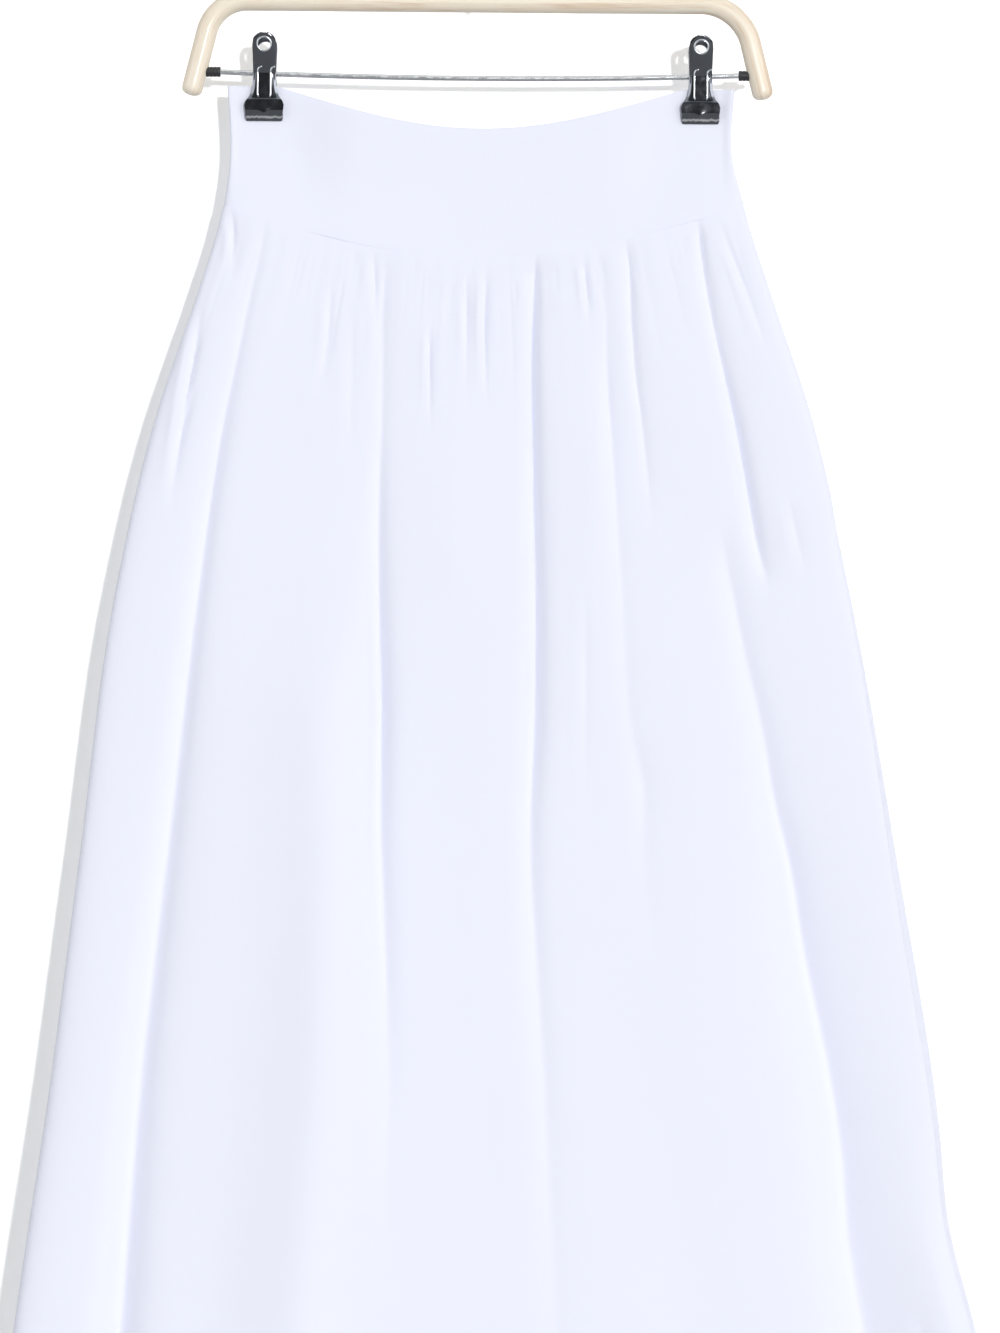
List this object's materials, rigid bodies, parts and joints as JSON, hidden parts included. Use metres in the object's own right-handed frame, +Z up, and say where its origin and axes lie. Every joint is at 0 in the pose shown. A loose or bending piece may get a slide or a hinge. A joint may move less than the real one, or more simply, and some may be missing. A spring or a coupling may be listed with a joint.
{
  "type": "maxi skirt on clip hanger",
  "caption": "White maxi skirt, gathered below a wide smooth hip yoke, hanging flat by spring clips from a round bentwood hanger with a wire hook.",
  "frame": {"origin": "inner top of the hanger's hook, where a rail carries it", "axes": "+Z up, the skirt's front faces -Y, +X to the right as seen from the front"},
  "size_m": [0.7312, 0.0968, 1.1759],
  "materials": {
    "cloth": "thin cool white plain weave, soft and nearly matt",
    "bent_wood": "pale bentwood under satin lacquer",
    "chrome": "bright plated wire and rod",
    "clip_steel": "smoked chrome plate, glossy",
    "spring_wire": "bright spring wire",
    "black_rubber": "matt black"
  },
  "bodies": {
    "root": {"yoke_front": "cloth", "yoke_back": "cloth", "skirt_front": "cloth", "skirt_back": "cloth", "hanger_hook": "chrome", "hanger_frame": "bent_wood", "hanger_rod": "chrome", "rod_cap_left": "black_rubber", "rod_cap_right": "black_rubber", "clip_left_front": "clip_steel", "clip_left_back": "clip_steel", "clip_left_spring": "spring_wire", "clip_left_wire_front": "spring_wire", "clip_left_wire_back": "spring_wire", "clip_right_front": "clip_steel", "clip_right_back": "clip_steel", "clip_right_spring": "spring_wire", "clip_right_wire_front": "spring_wire", "clip_right_wire_back": "spring_wire"}
  },
  "joints": []
}
